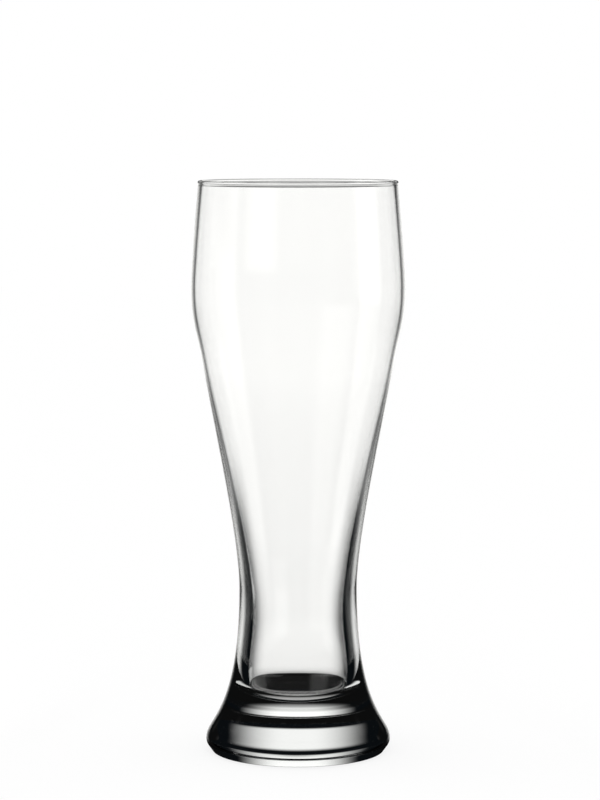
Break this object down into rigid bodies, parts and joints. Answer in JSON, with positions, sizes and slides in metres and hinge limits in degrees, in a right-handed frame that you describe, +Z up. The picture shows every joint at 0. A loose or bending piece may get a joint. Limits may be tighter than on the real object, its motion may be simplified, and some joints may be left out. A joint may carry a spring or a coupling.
{
  "type": "weizen glass",
  "caption": "Tall wheat-beer glass of clear glass with a heavy solid foot, a narrow waist, a belly near the top and a beaded rim.",
  "frame": {"origin": "centre of the bearing face under the foot, on the table", "axes": "+Z up the axis of the glass towards the rim; the glass is round, so X and Y may lie any way"},
  "size_m": [0.0811, 0.081, 0.2175],
  "materials": {
    "glass": "polished"
  },
  "bodies": {
    "root": {"foot": "glass", "waist": "glass", "bowl": "glass", "rim": "glass"}
  },
  "joints": []
}
